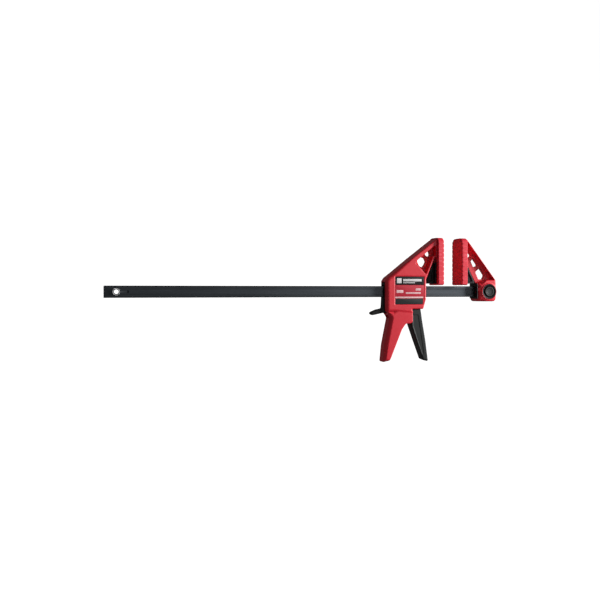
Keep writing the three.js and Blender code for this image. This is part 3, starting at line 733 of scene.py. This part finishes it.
# one half of the body: the outlines of body and handle, each carried out to its half width and fused, then
# hollowed for the works, the trigger's channel and the bar, with bosses for the screws and seats for the
# pivots
def shellShape(node, side):
    low, high = onBar(node)
    back = high[0]
    body = [(-137.6, 24, 3), (-48.5, 90.4, 3), (back, 91.5), (back, 59), (-50.6, 59, 2.5), (-66.3, 21, 4),
            (-66.3, -12.5, 3), (-71.4, -30.2, 2.6), (-92, -30.2), (-92, -36), (-137.5, -36),
            (-141.3, -33, 2), (-141.3, 18.3, 3)]
    handle = [(-140.4, -33), (-91, -33), (-91, -52.5, 3), (-96.5, -55.3, 3), (-103.6, -55, 5),
              (-111, -65, 8), (-131, -112.8, 2.5), (-133.3, -117.4, 2.5), (-145.6, -121.6, 2.5),
              (-142.4, -91, 6), (-132.8, -45, 4)]
    pocket = [(-48, 62.4, 1), (-52.9, 62.4, 1), (-66.6, 29.5, 2.5), (-76.5, 39.5, 4), (-87.6, 50.5, 4),
              (-53, 78.2, 2), (-48, 79.5, 1.5)]
    largeHole = [(-80.4, 54, 6), (-74.6, 60.4, 6), (-63.8, 59.4, 6), (-60.8, 50.4, 5), (-68.6, 41.2, 4),
                 (-75.6, 44.6, 4)]
    smallHole = [(-65.4, 64, 4), (-63.2, 71, 4), (-55, 71.6, 4), (-53.4, 63, 4), (-58.4, 60.4, 4)]
    inside = [(-131, -27), (-131, 25.6), (-94, 52.6), (-79, 38.4), (-72.2, 26), (-69.6, 20), (-69.6, -13),
              (-74, -29), (-74, -31), (-118, -31)]
    channel = [(-60, -60), (-73.4, -29.5), (-78, -22), (-117, -22), (-129.4, -40), (-129.4, -47),
               (-141.6, -105), (-139.2, -113.6), (-128, -113.6), (-105, -75)]

    def field(x, y, z):
        depth = y * side  # from the mid-plane outwards
        bodyRoll = 2.4 + 4.4 * np.clip((-92 - x) / 34, 0, 1)
        grip = meet(plan(body, x, z), depth - shell["bodyHalf"], bodyRoll)
        fromBack = x + 132.8 - (z + 45) * 0.209  # distance from the handle's leaning rear edge
        gripRoll = 1.8 + 5.7 * np.clip((12 - fromBack) / 7, 0, 1)
        grip = fuse(grip, meet(plan(handle, x, z), depth - shell["handleHalf"], gripRoll), 0.8)
        web = meet(plan(pocket, x, z), shell["web"] - depth, 1.6)
        grip = without(grip, web, 0.8)
        for hole in (largeHole, smallHole):
            away = plan(hole, x, z)
            rim = meet(away - shell["rim"], depth - shell["rimHalf"], 0.6)
            grip = without(fuse(grip, rim, 0.8), away, 0.7)
        wallInner = shell["wallInner"] - 1.5 * np.clip((-119 - x) / 3, 0, 1)  # thicker at the rear
        grip = without(grip, np.maximum(plan(inside, x, z), depth - wallInner), 0.3)
        grip = without(grip, np.maximum(plan(channel, x, z), depth - shell["channelHalf"]), 0.5)
        slot = np.maximum(np.maximum(x + 130.5, depth - shell["rearSlot"]), between(z, -45, 16.6))
        grip = without(grip, slot, 0.6)
        passage = np.maximum(between(x, -131.5, -117), np.maximum(depth - 8, between(z, -40, -26)))
        grip = without(grip, passage, 0.3)
        boreEnd = 9 if side < 0 else 20  # blind in the near half, right through the far one
        for spot in screwPlaces:  # bosses with their bores, and the heads' counterbores on the far side
            away = roundAt(x, z, spot, 0)
            grip = fuse(grip, np.maximum(away - shell["screwBoss"], depth - shell["bossEnd"]), 0.3)
            grip = without(grip, np.maximum(away - shell["screwBore"], depth - boreEnd), 0.2)
            if side > 0:
                grip = without(grip, np.maximum(away - shell["screwHead"], shell["headFloor"] - depth), 0.5)
        seat = np.maximum(roundAt(x, z, triggerPivot, shell["pivotSeat"]), between(depth, 9.2, 12))
        grip = fuse(grip, seat, 0.3)
        for spot, radius in ((triggerPivot, triggerBore), (leverPivot, leverBore)):
            grip = without(grip, np.maximum(roundAt(x, z, spot, radius), depth - shell["pivotEnd"]), 0.2)
        recesses = ((printPlace, 2.4, shell["panelRecess"]), (platePlace, 1.2, shell["recess"]),
                    (insertPlace, 1.2, shell["recess"]))
        for place, corner, deep in recesses:
            floor = shell["bodyHalf"] - deep
            grip = without(grip, np.maximum(plan(rectangle(*place, corner), x, z), floor - depth), 0.15)
        grip = without(grip, np.maximum(depth - 3.5, np.abs(z) - 10), 0.5)  # the bar's way through
        return meet(grip, shell["parting"] - depth, 0.25)

    return skinOf(field, low, high, shell["step"])


def makeShells(red):
    for node, side in (("near_shell", -1), ("far_shell", 1)):
        piece(node + "_moulding", shellShape(node, side), "sliding_jaw", red, [node])


# screws
screw = {"headRadius": 2.9, "headFloor": 8.3, "dome": 0.12, "shankRadius": 1.5, "shankEnd": 8.6,
         "crossHalf": 0.42, "crossReach": 1.9, "crossFloor": 9.5, "step": 0.2}


# a head whose top falls with the square of the distance from the middle, a plain shank and a cross cut in
# the head
def screwShape(node, spot):
    low, high = onBar(node)

    def field(x, y, z):
        dx, dz = np.abs(x - spot[0]), np.abs(z - spot[1])
        away = np.hypot(dx, dz)
        top = high[1] - screw["dome"] * away ** 2
        head = meet(away - screw["headRadius"], between(y, screw["headFloor"], top), 0.45)
        shank = meet(away - screw["shankRadius"], between(y, low[1], screw["shankEnd"]), 0.3)
        half, reach = screw["crossHalf"], screw["crossReach"]
        cross = np.minimum(np.maximum(dx - half, dz - reach), np.maximum(dz - half, dx - reach))
        return without(fuse(head, shank, 0.2), np.maximum(cross, screw["crossFloor"] - y), 0.12)

    return skinOf(field, low, high, screw["step"])


def makeScrews(zinc):
    for k, spot in enumerate(screwPlaces, 1):
        node = f"shell_screw_{k}"
        piece(node + "_head", screwShape(node, spot), "sliding_jaw", zinc, [node])


# plates, inserts and print: x0, x1, z0, z1 of each, heights in millimetres above the face they lie on
marking = {"plateGap": 0.3, "plateCorner": 1.0, "plateEdge": 0.3, "insertEdge": 0.25, "lift": 0.02,
           "film": 0.06, "printEdge": 0.02, "printField": (-125, -70.8, -11.6, 11), "fieldCorner": 0.6,
           "printLine": (-124.6, -72.4, -11.3, -8.7), "markCorner": 0.5, "markTop": 0.08,
           "plateMarks": [(-121.6, -113, 14.4, 22.8), (-110, -75.4, 17.6, 21.6), (-110, -88, 14.6, 15.8)],
           "fieldMarks": [(-122, -109.6, -2.2, 2.6), (-86.6, -77, 1.6, 5.6), (-105, -77, -3.8, -1.2)]}


def makePlate(node, finish, place, edge, side, material):  # fills its recess but for the gap
    x0, x1, z0, z1 = place
    gap = marking["plateGap"]
    low, high = onBar(node)
    inner, outer = (high[1], low[1]) if side < 0 else (low[1], high[1])
    outline = rectangle(x0 + gap, x1 - gap, z0 + gap, z1 - gap, marking["plateCorner"])
    shape = panel(outline, inner, outer, edge)
    piece(f"{node}_{finish}", shape, "sliding_jaw", material, [node], 50)


def makePrint(name, place, corner, side, inner, outer, material):  # thin film from inner to outer
    shape = panel(rectangle(*place, corner), side * inner, side * outer, marking["printEdge"])
    piece(name, shape, "sliding_jaw", material)


def makeMarkings(black, charcoal, film, ink):
    face = shell["bodyHalf"] - shell["panelRecess"]
    lift, thin = marking["lift"], marking["film"]
    for word, side in (("near", -1), ("far", 1)):
        makePlate(f"{word}_name_plate", "black", platePlace, marking["plateEdge"], side, black)
        makePlate(f"{word}_side_insert", "dark", insertPlace, marking["insertEdge"], side, charcoal)
        makePrint(f"{word}_print_field", marking["printField"], marking["fieldCorner"], side, face + lift,
                  face + thin, film)
        makePrint(f"{word}_print_line", marking["printLine"], marking["markCorner"], side, face + thin * 1.3,
                  face + thin * 2.6, ink)


def makeMarks(ink, paleInk):  # a plain square and stripes on the black plate, plain stripes on the red field
    plateFace = shell["bodyHalf"]
    fieldFace = shell["bodyHalf"] - shell["panelRecess"] + marking["film"]
    groups = (("plate", plateFace, paleInk), ("field", fieldFace, ink))
    for word, side in (("near", -1), ("far", 1)):
        for name, face, tone in groups:
            for k, place in enumerate(marking[name + "Marks"], 1):
                makePrint(f"{word}_{name}_mark_{k}", place, marking["markCorner"], side, face + marking["lift"],
                          face + marking["markTop"], tone)


# trigger and release lever
trigger = {"half": 9.0, "roll": 2.2, "rollAbove": 1.0, "dish": 0.45, "fork": 4.3, "step": 0.6}


# one blade, rolled off more where the fingers hold it, with a dish in each side, a fork over the bar and a
# bore
def triggerShape():
    blade = [(-92.6, 14, 4), (-88, 23, 4), (-83, 23, 4), (-79, 14, 4), (-77.4, -12), (-74.4, -32),
             (-65.2, -84), (-60.4, -119, 1.5), (-61.6, -121.4, 1.5), (-70.6, -117.6, 2), (-83.6, -83),
             (-93, -57.5, 3), (-92, -18), (-94.9, -15), (-94.9, -10.6), (-92.6, -9)]
    fork = [(-110, 40), (-110, -17), (-96, -17), (-78, -10.4), (-60, -10.4), (-60, 40)]
    hollow = [(-88.6, -40, 2), (-79.5, -40, 2), (-72.2, -84, 2), (-68.6, -108, 2), (-71.6, -108, 2),
              (-81.5, -81, 2), (-88.6, -60, 2)]

    def field(x, y, z):
        across = np.abs(y)
        held = np.clip((-36 - z) / 12, 0, 1)
        roll = trigger["rollAbove"] + (trigger["roll"] - trigger["rollAbove"]) * held
        blank = meet(plan(blade, x, z), across - trigger["half"], roll)
        dish = meet(plan(hollow, x, z), trigger["half"] - trigger["dish"] - across, 0.3)
        blank = without(blank, dish, 0.3)
        blank = without(blank, np.maximum(plan(fork, x, z), across - trigger["fork"]), 0.4)
        return without(blank, roundAt(x, z, triggerPivot, triggerBore), 0.3)

    low, high = onBar("trigger")
    return skinOf(field, low, high, trigger["step"])


lever = {"half": 6.5, "lean": math.radians(3), "roll": 1.1, "ribPitch": 2.3, "ribHeight": 0.35,
         "windowHalfWidth": 3.9, "windowHalfHeight": 11.1, "step": 0.5}


# an outline carried to its half width, with cosine ribs on the thumb tab and a window for the bar
def leverShape():
    arm = [(-143.7, 15.2, 1.5), (-139.2, 15.2), (-139.2, -20), (-132.4, -21.4, 3), (-130.6, -27, 3),
           (-131.6, -36.4, 2), (-143.5, -37, 3), (-161.5, -41.6, 2), (-165, -39.2, 2), (-163.4, -36.4, 2),
           (-154, -32, 6), (-143.7, -29.2, 3)]

    def field(x, y, z):  # worked out in the lever's own straight position, then leaned about its pivot
        dx, dz = x - leverPivot[0], z - leverPivot[1]
        cosine, sine = math.cos(lever["lean"]), math.sin(lever["lean"])
        px = leverPivot[0] + dx * cosine - dz * sine
        pz = leverPivot[1] + dx * sine + dz * cosine
        onTab = np.clip((-150.5 - px) / 1.5, 0, 1) * np.clip((px + 163) / 1.5, 0, 1)
        rib = lever["ribHeight"] * onTab * (0.5 + 0.5 * np.cos(2 * np.pi * px / lever["ribPitch"]))
        blade = meet(plan(arm, px, pz) - rib + 0.1 * onTab, np.abs(y) - lever["half"], lever["roll"])
        window = np.maximum(np.abs(y) - lever["windowHalfWidth"], np.abs(pz) - lever["windowHalfHeight"])
        return without(without(blade, window, 0.4), roundAt(px, pz, leverPivot, leverBore), 0.3)

    low, high = onBar("release_lever")
    return skinOf(field, low, high, lever["step"])


pins = {"triggerPin": 2.4, "leverPin": 1.5, "edge": 0.4}
springs = {"driveRadius": 10.9, "driveWire": 0.45, "brakeRadius": 2.6, "brakeWire": 0.4, "turns": 4,
           "driveKept": 0.3, "brakeKept": 0.8}


def makeControls(charcoal, black, zinc, spring):
    piece("trigger_moulding", triggerShape(), "trigger", charcoal, ["trigger"])
    piece("release_lever_moulding", leverShape(), "brake", black, ["release_lever"])
    pivots = (("trigger_pin", triggerPivot, pins["triggerPin"]), ("lever_pin", leverPivot, pins["leverPin"]))
    for node, spot, radius in pivots:  # a bevelled cylinder
        half, edge = onBar(node)[1][1], pins["edge"]
        pin = [(0, -half), (radius - edge, -half), (radius, edge - half), (radius, half - edge),
               (radius - edge, half), (0, half)]
        piece(node + "_turned", turned(pin, *spot, 36), "sliding_jaw", zinc, [node], 30)
    low, high = onBar("drive_spring")
    fixedEnd = (high[0], 0, 0)
    wound = coil((low[0], 0, 0), fixedEnd, springs["driveRadius"], springs["driveWire"], springs["turns"])
    made = piece("drive_spring_coil", wound, "drive", spring, ["drive_spring"])
    toMetres(fixedEnd)
    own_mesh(made)
    low, high = onBar("brake_spring")
    level = middleOf("brake_spring")[2]
    fixedEnd = (low[0], 0, level)
    wound = coil(fixedEnd, (high[0], 0, level), springs["brakeRadius"], springs["brakeWire"], springs["turns"])
    made = piece("brake_spring_coil", wound, "brake", spring, ["brake_spring"])
    toMetres(fixedEnd)
    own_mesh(made)
    for node in ("drive_plate_front", "drive_plate_rear", "brake_plate"):
        plate = frame["nodes"][node]
        plate.data.materials.clear()
        plate.data.materials.append(zinc)


# studio, in metres: each lamp has its place, its size and its watts
studio = {"floorBelow": 0.42, "floorMiddle": 1.2, "flatRadius": 2.4, "bend": 1.2, "wallTop": 3.2, "glow": 0.92,
          "world": 0.15, "lens": 39.75, "shiftY": -0.0158, "heading": 15.5,
          "camera": (-0.5840, -1.0612, -0.0509), "aim": (-0.06, 0, 0)}
lamps = {"key": ((1.62, -0.78, 0.3), 0.5, 62), "soft_box": ((0.62, -1.7, 0.25), 1.0, 3.4),
         "rear": ((0.9, 1.6, 0.05), 0.6, 16)}


def makeStage(paper):  # a round cove: flat floor, quarter bend, upright wall
    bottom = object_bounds()[0].z - studio["floorBelow"]
    flat, bend, columns = studio["flatRadius"], studio["bend"], 96
    turn = np.linspace(0, np.pi / 2, 16)
    radius = np.concatenate([[studio["floorMiddle"]], flat + bend * np.sin(turn), [flat + bend]])[:, None]
    level = np.concatenate([[0], bend * (1 - np.cos(turn)), [studio["wallTop"]]])[:, None] + bottom
    angle = np.linspace(0, 2 * np.pi, columns, endpoint=False)[None, :]
    height = np.broadcast_to(level, (len(level), columns))
    rings = np.stack([radius * np.cos(angle), radius * np.sin(angle), height], -1)
    faces = gridFaces(len(level), columns).tolist() + [list(range(columns))[::-1]]
    mesh = bpy.data.meshes.new("cove")
    mesh.from_pydata(rings.reshape(-1, 3), [], faces)
    mesh.polygons.foreach_set("use_smooth", np.ones(len(mesh.polygons), bool))
    mesh.materials.append(paper)
    cove = bpy.data.objects.new("cove", mesh)
    bpy.context.scene.collection.objects.link(cove)
    cove.visible_diffuse = cove.visible_glossy = False  # it is seen, and leaves the clamp's light to the lamps
    cove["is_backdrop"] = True


def covePaper():  # pale paper that also glows, so that it stays even behind the clamp
    paint = Paint("cove_paper", (0.9, 0.9, 0.9), Roughness=0.9, Emission_Strength=studio["glow"])
    cloud = paint.noise(1.5, 2)
    tone = paint.mix(cloud, (0.88, 0.88, 0.88), (0.92, 0.92, 0.92))
    return paint.feed(Base_Color=tone, Emission_Color=tone)


def makeLamp(name, place, size, watts):
    lamp = bpy.data.lights.new(name, "AREA")
    lamp.shape, lamp.size, lamp.energy = "DISK", size, watts
    made = bpy.data.objects.new(name, lamp)
    made.location = place
    made.rotation_euler = (Vector(studio["aim"]) - Vector(place)).to_track_quat("-Z", "Y").to_euler()
    made.visible_camera = False
    bpy.context.scene.collection.objects.link(made)


def makeLights():
    scene = bpy.context.scene
    for name, (place, size, watts) in lamps.items():
        makeLamp(name, place, size, watts)
    world = bpy.data.worlds.new("room")
    world.use_nodes = True
    world.node_tree.nodes["Background"].inputs[0].default_value = (1, 1, 1, 1)
    world.node_tree.nodes["Background"].inputs[1].default_value = studio["world"]
    scene.world = world
    scene.view_settings.view_transform = "Standard"


def makeCamera():
    lens = bpy.data.cameras.new("camera")
    lens.lens, lens.sensor_width, lens.shift_y = studio["lens"], 36, studio["shiftY"]
    lens.clip_start, lens.clip_end = 0.05, 50
    camera = bpy.data.objects.new("camera", lens)
    camera.location = studio["camera"]
    heading = math.radians(studio["heading"])
    ahead = Vector((math.sin(heading), math.cos(heading), 0))
    camera.rotation_euler = ahead.to_track_quat("-Z", "Y").to_euler()
    bpy.context.scene.collection.objects.link(camera)
    bpy.context.scene.camera = camera


makeCamera()
makeStage(covePaper())
makeLights()
print("studio ready")

red, rubber, black, charcoal = redPlastic(), redRubber(), blackPlastic(), charcoalPlastic()
steel, zinc, spring = barSteel(), zincSteel(), springSteel()
film = printInk("red_film", (0.50, 0.005, 0.026), (0.58, 0.010, 0.034))
ink = printInk("pale_ink", (0.80, 0.52, 0.53), (0.72, 0.34, 0.36))
paleInk = printInk("white_ink", (0.72, 0.70, 0.70), (0.55, 0.50, 0.51))
print("materials ready")

makeBar(steel)
makePads(rubber)
makeCarrier("fixed_pad_carrier", "fixed_pad", 1, "bar_assembly", black)
makeCarrier("sliding_pad_carrier", "sliding_pad", -1, "sliding_jaw", black)
makeBarGuide(black)
print("bar, pads and carriers ready")

piece("fixed_jaw_moulding", fixedJawShape(), "bar_assembly", red, ["fixed_jaw"])
makeButton(black, charcoal, zinc, spring)
print("fixed jaw ready")

makeShells(red)
makeScrews(zinc)
makeMarkings(black, charcoal, film, ink)
makeMarks(ink, paleInk)
makeControls(charcoal, black, zinc, spring)
print("pistol grip ready")
